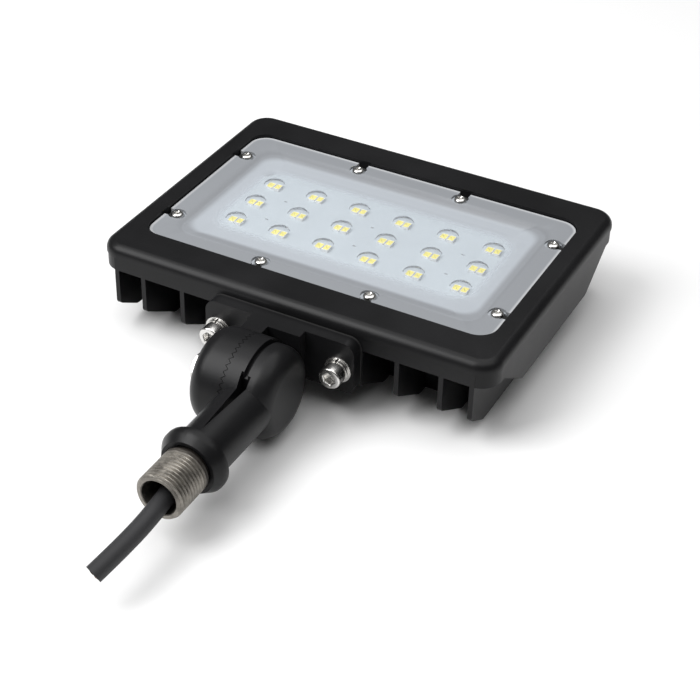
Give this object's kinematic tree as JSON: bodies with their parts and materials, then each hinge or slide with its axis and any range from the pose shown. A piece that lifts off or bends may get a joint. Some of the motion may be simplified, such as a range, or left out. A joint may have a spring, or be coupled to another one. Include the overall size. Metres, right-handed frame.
{
  "type": "flood light",
  "caption": "Outdoor LED flood light: finned rectangular head with a clear cover over LED pairs, on a toothed tilting knuckle with a threaded nipple and a short cord.",
  "frame": {"origin": "on the nipple's axis, at the collar's flat seat where the thread begins", "axes": "-Y along the nipple, pointing away from the light; +Z out of the lit face; X along the head's long side and the knuckle's pivot"},
  "size_m": [0.194, 0.2994, 0.0456],
  "materials": {
    "black_coat": "satin black powder coat on die-cast aluminium",
    "clear_cover": "clear moulded polycarbonate",
    "black_rubber": "soft matt",
    "steel": "bright stainless",
    "zinc": "dull zinc plate",
    "white_board": "white solder mask",
    "yellow_led": "phosphor",
    "grey_pad": "soft matt",
    "driver_plastic": "moulded",
    "green_board": "solder mask",
    "driver_parts": "moulded and sleeved",
    "wire_plastic": "insulation",
    "cord_jacket": "matt dark grey jacket"
  },
  "bodies": {
    "arm": {"knuckle_arm": "black_coat", "knuckle_seal": "black_rubber", "pivot_bolt": "steel", "pivot_washer": "steel", "nipple": "zinc", "cord_grommet": "black_rubber", "cord_inner": "cord_jacket", "cord_cores": "wire_plastic", "cord": "cord_jacket"},
    "head": {"housing": "black_coat", "back_cover": "black_coat", "knuckle_bracket": "black_coat", "lens_cover": "clear_cover", "lens_gasket": "black_rubber", "back_gasket": "black_rubber", "bracket_gasket": "black_rubber", "thermal_pad": "grey_pad", "cover_screws": "steel", "board_screws": "steel", "back_screws": "steel", "driver_screws": "steel", "bracket_bolts": "steel", "spring_washers": "steel", "flat_washers": "steel", "led_board": "white_board", "led_chips": "yellow_led", "led_leads": "wire_plastic", "driver_case": "driver_plastic", "driver_board": "green_board", "driver_components": "driver_parts", "supply_wires": "wire_plastic"}
  },
  "joints": [
    {"name": "head_tilt", "type": "hinge", "parent": "arm", "child": "head", "pos_m": [-0.009, 0.0585, 0], "axis": [1, 0, 0], "range_deg": [-90, 90]}
  ]
}
